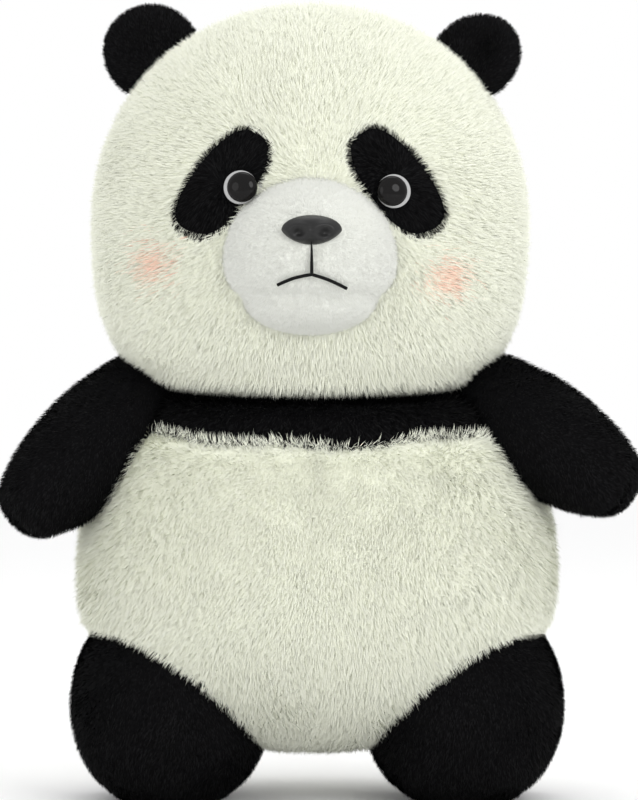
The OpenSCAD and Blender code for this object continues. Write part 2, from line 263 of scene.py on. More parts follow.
# A fur: slot, strand length, lean off the surface normal in degrees, strand width, tints and how
# common each is, (spacing, pull) of its tufts, how much its direction wanders, and how much of a
# strand's own face shows in its shading.
Fur = namedtuple("Fur", "slot length lean width tints shares clump wild blade_share",
                 defaults=((1.8 * MM, 0.2), 0.3, 0.06))
CREAM_FUR = Fur("cream_plush", 6.0 * MM, 44, 0.30 * MM, CREAM, (0.36, 0.34, 0.16, 0.14))
BODY_FUR = CREAM_FUR._replace(lean=46)
WHITE_FUR = Fur("white_plush", 2.2 * MM, 56, 0.28 * MM, WHITE, (0.4, 0.4, 0.2), (1.2 * MM, 0.1), 0.1, 0.04)
BLACK_FUR = Fur("black_plush", 3.0 * MM, 56, 0.34 * MM, BLACK, (0.5, 0.3, 0.2), (1.6 * MM, 0.35))
YOKE_FUR = BLACK_FUR._replace(length=5.0 * MM, lean=50, width=0.4 * MM, clump=(2.0 * MM, 0.4))
EAR_FUR = BLACK_FUR._replace(length=2.6 * MM, width=0.32 * MM)
PATCH_FUR = BLACK_FUR._replace(length=4.2 * MM, lean=52, width=0.3 * MM, clump=(1.8 * MM, 0.4))
CREAM_DENSITY = 2.2  # strands to the square millimetre
BLACK_DENSITY = 2.6
TRIM_DENSITY = BLACK_DENSITY + 0.6  # of the ears and eye patches
WHITE_DENSITY = 6.0


# ---------- meshes ----------
def add_object(name, data):
    o = bpy.data.objects.new(name, data)
    bpy.context.scene.collection.objects.link(o)
    return o


def make_smooth(mesh):
    mesh.polygons.foreach_set("use_smooth", np.ones(len(mesh.polygons), bool))


def ball_mesh(name, levels, shape):
    """A closed mesh whose points are shape(unit directions)."""
    mesh = bpy.data.meshes.new(name)
    b = bmesh.new()
    bmesh.ops.create_icosphere(b, subdivisions=levels, radius=1)
    b.to_mesh(mesh)
    b.free()
    co = np.empty(len(mesh.vertices) * 3)
    mesh.vertices.foreach_get("co", co)
    mesh.vertices.foreach_set("co", shape(unit(co.reshape(-1, 3))).ravel())
    make_smooth(mesh)
    mesh.update()
    return add_object(name, mesh)


def ring_faces(rings, turns):
    """Quads between each of a stack of rings and the next, with the given number of points a ring."""
    faces = []
    for i in range(rings):
        for j in range(turns):
            k = (j + 1) % turns
            faces.append((i * turns + j, i * turns + k, (i + 1) * turns + k, (i + 1) * turns + j))
    return faces


def clean(mesh, fill_holes=False):
    """Merges a mesh's doubled points, and turns all its faces the same way."""
    b = bmesh.new()
    b.from_mesh(mesh)
    bmesh.ops.remove_doubles(b, verts=b.verts, dist=1e-6)
    if fill_holes:
        bmesh.ops.holes_fill(b, edges=b.edges)
    bmesh.ops.recalc_face_normals(b, faces=b.faces)
    b.to_mesh(mesh)
    b.free()


def turned(name, profile, place, out, segments=48):
    """A body of revolution: profile is (radius, height) pairs, about the line from place along out."""
    verts = []
    for r, h in profile:
        for j in range(segments):
            t = 2 * math.pi * j / segments
            verts.append((r * math.cos(t), r * math.sin(t), h))
    mesh = bpy.data.meshes.new(name)
    mesh.from_pydata(verts, [], ring_faces(len(profile) - 1, segments))
    clean(mesh, fill_holes=True)
    turn = Vector(out).to_track_quat("Z", "Y").to_matrix().to_4x4()
    mesh.transform(Matrix.Translation(Vector(place)) @ turn)
    make_smooth(mesh)
    return add_object(name, mesh)


def points(o):
    co = np.empty(len(o.data.vertices) * 3)
    o.data.vertices.foreach_get("co", co)
    return co.reshape(-1, 3)


def put_points(o, co):
    o.data.vertices.foreach_set("co", co.ravel())
    o.data.update()


def normals(o):
    n = np.empty(len(o.data.vertices) * 3)
    o.data.vertices.foreach_get("normal", n)
    return n.reshape(-1, 3)


def refine(o):
    """One round of subdivision, applied."""
    m = o.modifiers.new("smooth", "SUBSURF")
    m.levels = m.render_levels = 1
    graph = bpy.context.evaluated_depsgraph_get()
    mesh = bpy.data.meshes.new_from_object(o.evaluated_get(graph))
    o.modifiers.clear()
    o.vertex_groups.clear()
    o.data = mesh
    make_smooth(mesh)
    return o


# ---------- cloth ----------
SEAM_DRAW = 5 * MM  # distance from a seam over which its thread draws the cloth in
SEAM_HOLD = 2.5 * MM  # distance over which it holds the cloth


def run_cloth(o, pressure, frames):
    """Each point's move while the cloth swells. The points of vertex group seam are held."""
    start = points(o)
    m = o.modifiers.new("stuffing", "CLOTH")
    s = m.settings
    s.vertex_group_mass = "seam"
    s.mass = 0.002
    s.quality = 5
    s.tension_stiffness = 5
    s.compression_stiffness = 5
    s.shear_stiffness = 2
    s.bending_stiffness = 0.05
    s.shrink_min = -0.012
    s.use_pressure = True
    s.uniform_pressure_force = pressure
    s.effector_weights.gravity = 0
    m.point_cache.frame_start = 1
    m.point_cache.frame_end = frames
    scene = bpy.context.scene
    for f in range(1, frames + 1):
        scene.frame_set(f)
    graph = bpy.context.evaluated_depsgraph_get()
    moved = np.empty(len(start) * 3)
    o.evaluated_get(graph).data.vertices.foreach_get("co", moved)
    o.modifiers.remove(m)
    scene.frame_set(1)
    return moved.reshape(-1, 3) - start


def evened(o, field, rounds=10):
    """A field on a mesh's points with its small wrinkles averaged out over neighbouring points."""
    edges = np.empty(len(o.data.edges) * 2, np.int32)
    o.data.edges.foreach_get("vertices", edges)
    a, b = edges.reshape(-1, 2).T
    ends, others = np.concatenate([a, b]), np.concatenate([b, a])
    count = np.bincount(ends, minlength=len(field))[:, None]
    for _ in range(rounds):
        total = np.stack([np.bincount(ends, field[others, i], len(field)) for i in range(3)], 1)
        field = 0.4 * field + 0.6 * total / count
    return field


def puff(o, seam, pressure=3.0, frames=14, cap=5 * MM, draw_in=2.5 * MM):
    """Stuffs a closed cloth skin: its seams are drawn in and held, and pressure swells the panels.

    seam(points) is 0 on a seam and grows with the distance from it. No point moves further than cap.
    """
    rest = points(o)
    away = seam(rest)
    start = rest - normals(o) * (draw_in * hill(away, SEAM_DRAW))[:, None]
    put_points(o, start)
    held = o.vertex_groups.new(name="seam")
    held.add([int(i) for i in np.nonzero(away < SEAM_HOLD)[0]], 1.0, "REPLACE")
    step = evened(o, run_cloth(o, pressure, frames))
    size = np.linalg.norm(step, axis=1, keepdims=True)
    put_points(o, start + step * np.minimum(1, cap / np.maximum(size, 1e-9)))
    print("puffed", o.name, "by up to", round(float(size.max()) * 1000, 1), "mm")
    return o


def cut_panels(o, panel_of, nodes):
    """Splits a skin into one cloth for each CAD node. panel_of(points) gives each point's panel number.

    Returns (number, node, object) for each panel.
    """
    mesh = o.data
    centres = np.empty(len(mesh.polygons) * 3)
    mesh.polygons.foreach_get("center", centres)
    panel = panel_of(centres.reshape(-1, 3))
    parts = []
    for i, node in enumerate(nodes):
        name = node.removesuffix("_skin") + "_cloth"
        b = bmesh.new()
        b.from_mesh(mesh)
        b.faces.ensure_lookup_table()
        bmesh.ops.delete(b, geom=[b.faces[j] for j in np.nonzero(panel != i)[0]], context="FACES")
        part = bpy.data.meshes.new(name)
        b.to_mesh(part)
        b.free()
        parts.append((i, node, add_object(name, part)))
    bpy.data.objects.remove(o)
    return parts


# ---------- pile ----------
def scatter(o, per_mm2, seed):
    """Random (points, normals) on a mesh, a given number to the square millimetre."""
    r = np.random.default_rng(seed)
    mesh = o.data
    mesh.calc_loop_triangles()
    tri = np.empty(len(mesh.loop_triangles) * 3, np.int32)
    mesh.loop_triangles.foreach_get("vertices", tri)
    tri = tri.reshape(-1, 3)
    co, n = points(o), normals(o)
    a, b, c = co[tri[:, 0]], co[tri[:, 1]], co[tri[:, 2]]
    area = np.linalg.norm(np.cross(b - a, c - a), axis=1) / 2
    count = int(area.sum() / (MM * MM) * per_mm2 * STRANDS)
    pick = r.choice(len(tri), count, p=area / area.sum())
    u, v = r.random(count), r.random(count)
    flip = u + v > 1
    u[flip], v[flip] = 1 - u[flip], 1 - v[flip]
    w = 1 - u - v
    t = tri[pick]

    def mix(q):
        return q[t[:, 0]] * w[:, None] + q[t[:, 1]] * u[:, None] + q[t[:, 2]] * v[:, None]

    return mix(co), unit(mix(n))


def tufts(roots, tips, spacing, pull, seed):
    """Draws each strand's tip towards the tip of its tuft's middle strand."""
    r = np.random.default_rng(seed)
    area_each = spacing * spacing
    size = roots.max(0) - roots.min(0)
    count = max(8, int(2.2 * (size[0] * size[1] + size[1] * size[2] + size[0] * size[2]) / area_each))
    middles = r.choice(len(roots), min(count, len(roots) // 3), replace=False)
    tree = KDTree(len(middles))
    for i, j in enumerate(middles):
        tree.insert(roots[j], i)
    tree.balance()
    nearest = np.array([tree.find(p)[1] for p in roots])
    home = middles[nearest]
    drawn = roots + (tips[home] - roots[home])
    target = drawn * 0.45 + tips[home] * 0.55
    amount = (pull * r.uniform(0.4, 1.0, len(roots)))[:, None]
    return tips * (1 - amount) + target * amount


def blade_points(start, along, rise, side, half, tips):
    """Five points for each strand: two pairs up its curve, and its tip."""
    rows = []
    for t, w in ((0.0, 1.0), (0.55, 0.75)):
        mid = start + along * t + rise * (4 * t * (1 - t))
        rows += [mid - side * half * w, mid + side * half * w]
    rows.append(tips)
    co = np.stack(rows, 1)
    co[..., 2] = np.maximum(co[..., 2], 0.1 * MM)  # no strand reaches through the floor
    return co


def strand_mesh(name, co, tints, tint, soft):
    """Mesh of strands with five points each, tint numbers and shading normals."""
    count = len(co)
    faces = np.array([[0, 1, 3], [0, 3, 2], [2, 3, 4]])
    tri = (np.arange(count)[:, None, None] * 5 + faces).reshape(-1, 3)
    mesh = bpy.data.meshes.new(name)
    mesh.vertices.add(count * 5)
    mesh.vertices.foreach_set("co", co.ravel())
    mesh.loops.add(len(tri) * 3)
    mesh.loops.foreach_set("vertex_index", tri.ravel().astype(np.int32))
    mesh.polygons.add(len(tri))
    mesh.polygons.foreach_set("loop_start", np.arange(0, len(tri) * 3, 3, dtype=np.int32))
    make_smooth(mesh)
    for m in tints:
        mesh.materials.append(m)
    mesh.polygons.foreach_set("material_index", np.repeat(tint, 3).astype(np.int32))
    mesh.update(calc_edges=True)
    mesh.validate()
    mesh.normals_split_custom_set_from_vertices(np.repeat(soft, 5, axis=0).tolist())
    return mesh


def grow(name, roots, n, flow, fur, body, seed, bend=None):
    r = np.random.default_rng(seed)
    count = len(roots)
    if not count:
        return
    length = np.broadcast_to(fur.length, count) * r.uniform(0.7, 1.12, count)
    lean = np.radians(fur.lean + r.normal(0, 9, count))
    flow = tangent(flow + fur.wild * waves(roots, 11 * MM, seed) + 0.25 * r.normal(size=(count, 3)), n)
    tips = roots + length[:, None] * (np.cos(lean)[:, None] * n + np.sin(lean)[:, None] * flow)
    tips = tufts(roots, tips, *fur.clump, seed + 1)
    along = tips - roots
    side = unit(np.cross(n, flow) + 0.35 * r.normal(size=(count, 3)))
    turn = (np.cross(side, along) * n).sum(-1, keepdims=True)
    side *= np.where(turn < 0, -1.0, 1.0)  # every blade's front faces outwards
    half = (fur.width / 2 * r.uniform(0.7, 1.25, count))[:, None]
    co = blade_points(roots - 0.8 * MM * n, along, 0.22 * length[:, None] * n, side, half, tips)
    shares = np.asarray(fur.shares, float)
    if shares.ndim == 1:
        shares = np.broadcast_to(shares / shares.sum(), (count, len(fur.tints)))
    tint = (r.random(count)[:, None] > np.cumsum(shares, axis=1)).sum(1).clip(0, len(fur.tints) - 1)
    blade = unit(np.cross(side, along))
    soft = unit((1 - fur.blade_share) * n + fur.blade_share * blade)
    o = add_object(name, strand_mesh(name, co, fur.tints, tint, soft))
    if bend:
        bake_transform(o)
    else:
        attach(o, body)
    print(name, count, "strands")


def dress(o, material, body, slot_name, *nodes, fill=None, bend=None):
    """Gives a piece its material, and its body unless bend is given, and hides the CAD nodes that it
    stands for.
    """
    o.data.materials.clear()
    o.data.materials.append(material)
    if bend:
        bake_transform(o)
    else:
        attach(o, body)
    if nodes:
        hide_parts(*nodes)
    return o


def stuffing(name, shape, body, node, bend=None):
    """The fibre filling under a skin, a little lumpy."""
    o = ball_mesh(name, 4, shape)
    co = points(o)
    put_points(o, co + normals(o) * (0.7 * MM * waves(co, 14 * MM, 5)[:, :1]))
    refine(o)
    return dress(o, FIBRE, body, "fibre_filling", node, fill=0.9, bend=bend)


def finish_node(node, material):
    """A better material on a CAD node that stays."""
    o = frame["nodes"][node]
    o.data.materials.clear()
    o.data.materials.append(material)


# ---------- where the parts are, for trimming the pile ----------
def patch_half(s):
    """Half width of an eye patch where the sine of the place along it is s."""
    return (12.6 + 1.4 * s * s - 0.4 * s) * MM


def in_patch(p, grow_by=0.0):
    """True inside either eye patch, seen from the front."""
    hit = np.zeros(len(p), bool)
    a = PATCH_SLANT
    for middle, side in PATCHES.values():
        d = p[:, (0, 2)] - middle
        along = -side * d[:, 0] * math.sin(a) + d[:, 1] * math.cos(a)
        across = side * d[:, 0] * math.cos(a) + d[:, 1] * math.sin(a)
        s = filled(np.clip(along / PATCH_LONG, -1, 1), 1 / PATCH_ENDS)
        half = patch_half(s) * filled(np.sqrt(np.maximum(0, 1 - s * s)), PATCH_SIDES) + grow_by
        hit |= (np.abs(across) < half) & (np.abs(along) < PATCH_LONG + grow_by) & (p[:, 1] < HEAD[1])
    return hit


def in_muzzle(p, grow_by=0.0):
    return in_ellipsoid(p, MUZZLE, MUZZLE_R + grow_by) & (p[:, 1] < HEAD[1])


def in_head(p, grow_by=0.0):
    return in_ellipsoid(p, HEAD, HEAD_RADII + grow_by) & (p[:, 2] > HEAD_UNDER - grow_by)


def torso_radii(below):
    """The torso's radii for points that are below its middle or not."""
    rz = np.where(below, TORSO_LOW_R, TORSO_UP_R)
    return np.stack([np.full(len(rz), TORSO_R[0]), np.full(len(rz), TORSO_R[1]), rz], 1)


def in_torso(p, grow_by=0.0):
    return in_ellipsoid(p, TORSO, torso_radii(p[:, 2] < TORSO[2]) + grow_by)


def in_leg(p, grow_by=0.0):
    hit = np.zeros(len(p), bool)
    for hip in HIPS.values():
        hit |= in_ellipsoid(p, hip, LEG_R + grow_by)
    return hit


def paw(side):
    """Middle of a paw: its ball touches the arm's box on the outer, front and lower sides."""
    middle, half = span(f"arm_front_{side}", f"arm_back_{side}")
    low, high = middle - half, middle + half
    x = low[0] + PAW_R if side == "left" else high[0] - PAW_R
    return np.array([x, low[1] + PAW_R, low[2] + PAW_R])


PAWS = {s: paw(s) for s in SIDES}


def in_arm(p, grow_by=0.0):
    hit = np.zeros(len(p), bool)
    for s in SIDES:
        a, b = SHOULDERS[s], PAWS[s]
        t = np.clip((p - a) @ (b - a) / ((b - a) @ (b - a)), 0, 1)
        hit |= np.linalg.norm(p - a - t[:, None] * (b - a), axis=1) < PAW_R + grow_by
    return hit


# ---------- head ----------
def head_shape(inset):
    def shape(s):
        down = np.minimum(1, -s[:, 2:3] / JOWL_OVER)
        n = np.where(s[:, 2:3] < 0, HEAD_ROUND + HEAD_JOWL * down, HEAD_ROUND)
        k = (np.abs(s) ** n).sum(1, keepdims=True) ** (-1 / n)
        d = HEAD + s * k * (HEAD_RADII - inset) - DISH
        far = np.linalg.norm(d, axis=1, keepdims=True)
        return DISH + d * np.minimum(1, (DISH_R - inset) / far)
    return shape


def head_seam(p):
    side = np.abs(p[:, 1] - HEAD[1] + SIDE_SEAM)
    under = np.abs(p[:, 2] - HEAD_UNDER - HEAD_RIM)
    back = np.where(p[:, 1] > HEAD[1], np.abs(p[:, 0] - HEAD[0]), FAR)
    return np.minimum(np.minimum(side, under), back)


def from_neck(p):
    return np.hypot(p[:, 0] - NECK[0], p[:, 1] - NECK[1])


def head_panel(p):
    right = p[:, 0] > HEAD[0]
    back = p[:, 1] > HEAD[1] - SIDE_SEAM
    under = (from_neck(p) < HEAD_RIM_R) & (p[:, 2] < HEAD_UNDER + HEAD_RIM)
    return np.where(under, 4, right + 2 * back)


def head_flow(p):
    """The pile lies away from the bridge of the nose, and a little down."""
    bridge = np.array([HEAD[0], HEAD[1] - HEAD_R[1], HEAD[2] + 8 * MM])
    return unit(p - bridge) + np.array([0, 0.1, -0.25])


def cheek_share(p):
    """How pink each point is, 0 to 1."""
    d = np.min([np.hypot(p[:, 0] - c[0], p[:, 2] - c[1]) for c in CHEEKS], axis=0)
    return np.where(p[:, 1] < HEAD[1], 0.95 * hill(d, CHEEK_R), 0)


def build_head():
    stuffing("head_fibre", head_shape(FIBRE_INSET), "head", "head_filling")
    o = puff(ball_mesh("head_skin", 5, head_shape(SKIN_INSET)), head_seam)
    refine(o)
    p, n = scatter(o, CREAM_DENSITY, 11)
    panel = head_panel(p)
    # strands are left out inside the patches and the muzzle, and where their tips would hang over them
    reach = p + 4.5 * MM * tangent(head_flow(p), n)
    bare = in_patch(p, -0.5 * MM) | in_muzzle(p, -2 * MM) | in_patch(reach, 0.5 * MM)
    bare |= in_muzzle(reach, -3 * MM)
    for i, node, part in cut_panels(o, head_panel, (*HEAD_NODES, "head_underside")):
        dress(part, CREAM_CLOTH, "head", "cream_plush", node, fill=0.9)
        keep = (panel == i) & ~bare
        if node == "head_underside":
            keep &= from_neck(p) > COLLAR_R
        q = p[keep]
        pink = cheek_share(q)[:, None]
        shares = np.hstack([np.array(CREAM_FUR.shares) * (1 - pink), 0.6 * pink, 0.4 * pink])
        fur = CREAM_FUR._replace(tints=CREAM + BLUSH, shares=shares)
        grow(node + "_pile", q, n[keep], head_flow(q), fur, "head", 20 + i)


# ---------- torso ----------
def torso_shape(inset):
    def shape(s):
        low = s[:, 2] < 0
        n = np.where(low, 2.1, 2.25)[:, None]  # a little squarer above
        k = (np.abs(s) ** n).sum(1, keepdims=True) ** (-1 / n)
        d = TORSO + s * k * (torso_radii(low) - inset) - DISH
        far = np.linalg.norm(d, axis=1, keepdims=True)
        return DISH + d * np.maximum(1, (DISH_R + 3 * MM) / far)  # clear of the head's underside
    return shape


def yoke_depth(p):
    """How far a point is inside the black shoulder band."""
    wobble = 1.0 * MM * np.sin(p[:, 0] / (9 * MM))
    ball = np.array([NECK[0], TORSO[1], YOKE_Z])
    return YOKE_R + wobble - np.linalg.norm(p - ball, axis=1)


def torso_seam(p):
    side = np.abs(p[:, 1] - TORSO[1])
    band = np.abs(yoke_depth(p))
    back = np.where(p[:, 1] > TORSO[1], np.abs(p[:, 0]), FAR)
    return np.minimum(np.minimum(side, band), back)


def torso_panel(p):
    back = p[:, 1] > TORSO[1]
    return np.where(yoke_depth(p) > 0, 3, np.where(back, np.where(p[:, 0] > 0, 2, 1), 0))


def build_torso():
    stuffing("torso_fibre", torso_shape(FIBRE_INSET), "torso", "torso_filling")
    o = puff(ball_mesh("torso_skin", 5, torso_shape(SKIN_INSET)), torso_seam)
    refine(o)
    p, n = scatter(o, CREAM_DENSITY, 31)
    panel = torso_panel(p)
    flow = np.stack([0.25 * np.sign(p[:, 0]) * np.abs(p[:, 0] / TORSO_R[0]), np.zeros(len(p)),
                     -np.ones(len(p))], 1)
    hidden = in_leg(p, -1 * MM) | in_arm(p, -6 * MM)
    for i, node, part in cut_panels(o, torso_panel, TORSO_NODES):
        keep = (panel == i) & ~hidden
        if node == "shoulder_yoke":
            dress(part, BLACK_CLOTH, "torso", "black_plush", node, fill=0.9)
            grow(node + "_pile", p[keep], n[keep], flow[keep], YOKE_FUR, "torso", 44)
            continue
        dress(part, CREAM_CLOTH, "torso", "cream_plush", node, fill=0.9)
        halves = {"": keep}
        if node == "belly_skin":
            halves = {"_left": keep & (p[:, 0] < 0), "_right": keep & (p[:, 0] >= 0)}
        for k, (half, those) in enumerate(halves.items()):
            q = p[those]
            up = np.clip(1 + yoke_depth(q) / (9 * MM), 0, 1)[:, None]  # brushed up beside the band
            over_leg = in_leg(q - 5 * MM * UP, 2 * MM)
            length = np.where(over_leg, 0.6 * BODY_FUR.length, BODY_FUR.length)
            grow(node + half + "_pile", q, n[those], flow[those] * (1 - 1.6 * up),
                 BODY_FUR._replace(length=length), "torso", 40 + i + 5 * k)


# ---------- limbs ----------
def build_leg(side):
    hip = HIPS[side]
    middle = hip - np.array([math.copysign(LEG_WIDER, hip[0]), 0, 0])

    def shape_in(inset):
        def shape(s):
            p = middle + s * (LEG_R + [LEG_WIDER, 0, 0] - inset)
            p[:, 1] -= LEG_FORWARD * np.maximum(-s[:, 1], 0)
            p[:, 2] = np.maximum(p[:, 2], inset - SOLE_FLAT)
            return p
        return shape

    def seam(p):
        level = np.abs(p[:, 2] - SOLE_SEAM)
        return np.minimum(level, np.abs(p[:, 1] - hip[1]) + np.where(p[:, 2] < 5 * MM, FAR, 0))

    def panel_of(q):
        above = q[:, 2] >= SOLE_Z
        return np.where(above, (q[:, 1] > hip[1]).astype(int), 2)

    stuffing(f"leg_{side}_fibre", shape_in(6 * MM), f"leg_{side}", f"leg_filling_{side}")
    o = puff(ball_mesh(f"leg_{side}_skin", 5, shape_in(0.8 * MM)), seam, cap=2 * MM, draw_in=1.2 * MM)
    co = points(o)
    co[:, 2] = np.maximum(co[:, 2], 0.4 * MM)
    put_points(o, co)
    p, n = scatter(o, BLACK_DENSITY, 51)
    panel = panel_of(p)
    flow = np.stack([0 * p[:, 0], -0.35 * np.ones(len(p)), -np.ones(len(p))], 1)
    shown = ~in_torso(p, -9 * MM)
    nodes = [f"leg_front_{side}", f"leg_back_{side}", f"sole_{side}"]
    for i, node, part in cut_panels(o, panel_of, nodes):
        dress(part, BLACK_CLOTH, f"leg_{side}", "black_plush", node, fill=0.9)
        keep = (panel == i) & shown
        if node.startswith("sole"):
            keep &= p[:, 2] > 0.6 * MM  # the pile is pressed flat where the sole stands
        grow(node + "_pile", p[keep], n[keep], flow[keep], BLACK_FUR, f"leg_{side}", 60 + i)


def build_arm(side):
    """An arm sewn into the shoulder: its cloth runs from the root to the paw, and its pieces are baked in
    place.
    """
    pivot, b = SHOULDERS[side], PAWS[side]
    a = pivot + np.array([math.copysign(ROOT_IN, -pivot[0]), -ROOT_FORWARD, ROOT_UP])
    axis = unit(b - a)
    length = np.linalg.norm(b - a)
    bend = ("torso", f"arm_{side}", tuple(a - 4 * MM * axis), tuple(a + 0.8 * length * axis))
    lift = unit(np.cross(axis, UP))
    front = lift if lift[1] < 0 else -lift

    def shape_in(inset):
        def shape(s):
            along = s @ axis
            across = s - along[:, None] * axis
            t = np.clip(along * 1.25, -1, 1)
            reach = (t + 1) / 2 * length
            r = ROOT_R + (PAW_R - ROOT_R) * (t + 1) / 2 - inset
            return a + axis * reach[:, None] + r[:, None] * (across + along[:, None] * axis)
        return shape

    def seam(p):
        return np.abs((p - a) @ lift) + np.where((p - a) @ axis < 0, FAR, 0)

    def panel_of(q):
        return (((q - a) @ front) < 0).astype(int)

    stuffing(f"arm_{side}_fibre", shape_in(6 * MM), f"arm_{side}", f"arm_filling_{side}", bend)
    o = puff(ball_mesh(f"arm_{side}_skin", 5, shape_in(0.9 * MM)), seam, cap=2 * MM, draw_in=1.2 * MM)
    p, n = scatter(o, BLACK_DENSITY, 71)
    panel = panel_of(p)
    shown = ~in_torso(p, -9 * MM) & ~in_head(p, -6 * MM)
    for i, node, part in cut_panels(o, panel_of, [f"arm_front_{side}", f"arm_back_{side}"]):
        dress(part, BLACK_CLOTH, f"arm_{side}", "black_plush", node, fill=0.9, bend=bend)
        keep = (panel == i) & shown
        flow = np.broadcast_to(axis + [0, 0, -0.3], (keep.sum(), 3))
        grow(node + "_pile", p[keep], n[keep], flow, BLACK_FUR, f"arm_{side}", 80 + i, bend)


def build_ear(side):
    """A flattened round ear, dished in front."""
    place, axis = joint(f"ear_{side}_fold")
    out = unit(place - np.array([HEAD[0], place[1], HEAD[2]]))
    front = unit(np.cross(out, axis))
    front = front if front[1] < 0 else -front

    def shape(s):
        x, y, z = s @ axis, s @ front, s @ out
        dish = np.where(y > 0, 1 - 0.75 * np.exp(-((x * x + (z - 0.1) ** 2) / 0.28)), 1.0)
        return (place + out * EAR_RISE + axis * (x * (EAR_R - EAR_INSET))[:, None]
                + out * (z * (EAR_R - EAR_INSET))[:, None]
                + front * (y * dish * (EAR_THICK - EAR_INSET))[:, None])

    def seam(p):
        return np.abs((p - place) @ front)

    def panel_of(q):
        return (((q - place) @ front) < 0).astype(int)

    o = puff(ball_mesh(f"ear_{side}_skin", 5, shape), seam, pressure=1.0, cap=1.5 * MM, draw_in=0.6 * MM)
    p, n = scatter(o, TRIM_DENSITY, 91)
    panel = panel_of(p)
    shown = (p - place) @ out > -1 * MM
    for i, node, part in cut_panels(o, panel_of, [f"ear_front_{side}", f"ear_back_{side}"]):
        dress(part, BLACK_CLOTH, f"ear_{side}", "black_plush", node, fill=0.5)
        keep = (panel == i) & shown
        flow = unit(p[keep] - place + 0.01 * out)
        grow(node + "_pile", p[keep], n[keep], flow, EAR_FUR, f"ear_{side}", 95 + i)


# ---------- face ----------
def muzzle_point(x, z, proud=0.0):
    """A place on the muzzle's front over a point across and up."""
    u = 1 - ((x - MUZZLE[0]) / MUZZLE_R[0]) ** 2 - ((z - MUZZLE[2]) / MUZZLE_R[2]) ** 2
    return np.array([x, MUZZLE[1] - MUZZLE_R[1] * math.sqrt(max(u, 0)) - proud, z])


def muzzle_shape(s):
    """Two cheeks with a cleft between them over a crease and the lower lip."""
    p = MUZZLE + s * (MUZZLE_R + [MUZZLE_WIDER, 0, 0] - 1.6 * MM)
    p[:, 2] += MUZZLE_TALLER * np.maximum(s[:, 2], 0)
    up = p[:, 2] - MOUTH_Z
    front = s[:, 1] < 0
    crease = 1.5 * MM * hill(up - 1 * MM, 3.2 * MM) * front
    lip = 0.8 * MM * hill(up + 8 * MM, 6 * MM) * front
    cleft = 0.6 * MM * hill(p[:, 0] - MUZZLE[0], 3 * MM) * front
    cleft = cleft * (p[:, 2] > MOUTH_Z) * (p[:, 2] < MUZZLE[2] + 4 * MM)
    return p - s * (crease - lip + cleft)[:, None]


def build_muzzle():
    def seam(p):
        return np.abs(p[:, 2] - MOUTH_Z)

    def panel_of(q):
        return (q[:, 2] < MOUTH_Z).astype(int)

    stuffing("muzzle_fibre", lambda s: MUZZLE + s * (MUZZLE_R - 6 * MM), "head", "muzzle_filling")
    o = puff(ball_mesh("muzzle_cloth_all", 5, muzzle_shape), seam, pressure=1.0, cap=1.5 * MM,
             draw_in=0.5 * MM)
    refine(o)
    p, n = scatter(o, WHITE_DENSITY, 101)
    panel = panel_of(p)
    shown = p[:, 1] < MUZZLE[1] + 8 * MM
    nose = span("nose")[0]
    parting = np.array([nose[0], MUZZLE[1] - MUZZLE_R[1], nose[2]])
    for i, node, part in cut_panels(o, panel_of, ["muzzle_skin", "chin_skin"]):
        dress(part, WHITE_CLOTH_IN_PAINTED_SHADE, "head", "white_plush", node, fill=0.9)
        keep = (panel == i) & shown
        flow = unit(p[keep] - parting) + [0, 0, -0.1]
        grow(node + "_pile", p[keep], n[keep], flow, WHITE_FUR, "head", 110 + i)


def head_surface(x, z, inset=0.0):
    """(place, outward direction) on the head's front."""
    r = HEAD_RADII - inset
    u = 1 - ((x - HEAD[0]) / r[0]) ** 2 - ((z - HEAD[2]) / r[2]) ** 2
    p = np.array([x, HEAD[1] - r[1] * math.sqrt(max(u, 0)), z])
    return p, unit((p - HEAD) / r ** 2)


def patch_verts(middle, side, rings, turns):
    """Points of a padded sheet on the head's front, ring by ring out to the patch's outline."""
    verts = []
    a = PATCH_SLANT
    for i in range(rings + 1):
        for j in range(turns):
            t = 2 * math.pi * j / turns
            s = math.sin(t)
            u = patch_half(s) * filled(math.cos(t), PATCH_SIDES) * i / rings
            v = PATCH_LONG * filled(s, PATCH_ENDS) * i / rings
            x = middle[0] + side * (u * math.cos(a) - v * math.sin(a))
            z = middle[1] + u * math.sin(a) + v * math.cos(a)
            p, n = head_surface(x, z, 2.6 * MM)
            verts.append(tuple(p + n * (2.2 * MM * math.sqrt(max(0, 1 - (i / rings) ** 3)))))
    return verts


def build_patch(name):
    rings, turns = 14, 64
    middle, side = PATCHES[name]
    mesh = bpy.data.meshes.new(f"eye_patch_{name}_cloth")
    mesh.from_pydata(patch_verts(middle, side, rings, turns), [], ring_faces(rings, turns))
    clean(mesh)
    o = add_object(mesh.name, mesh)
    make_smooth(mesh)
    mesh.update()
    if normals(o)[:, 1].mean() > 0:
        mesh.flip_normals()
    p, n = scatter(o, TRIM_DENSITY, 121)
    dress(o, BLACK_CLOTH, "head", "black_plush", f"eye_patch_{name}")
    eye = span(f"eye_white_{name}")[0]
    keep = np.hypot(p[:, 0] - eye[0], p[:, 2] - eye[2]) > 6.8 * MM
    p, n = p[keep], n[keep]
    out = np.stack([p[:, 0] - middle[0], 0 * p[:, 0], p[:, 2] - middle[1]], 1)
    grow(f"eye_patch_{name}_pile", p, n, unit(out) + [0, 0, -0.2], PATCH_FUR, "head", 130)


def cap(radius, height, base, steps=14):
    """Profile of a domed cap over a rim."""
    out = [(0.0, base - 1.5 * MM), (radius * 0.98, base - 1.5 * MM), (radius, base - 0.8 * MM)]
    for i in range(steps + 1):
        a = math.pi / 2 * i / steps
        out.append((radius * math.cos(a), base + height * math.sin(a)))
    return out


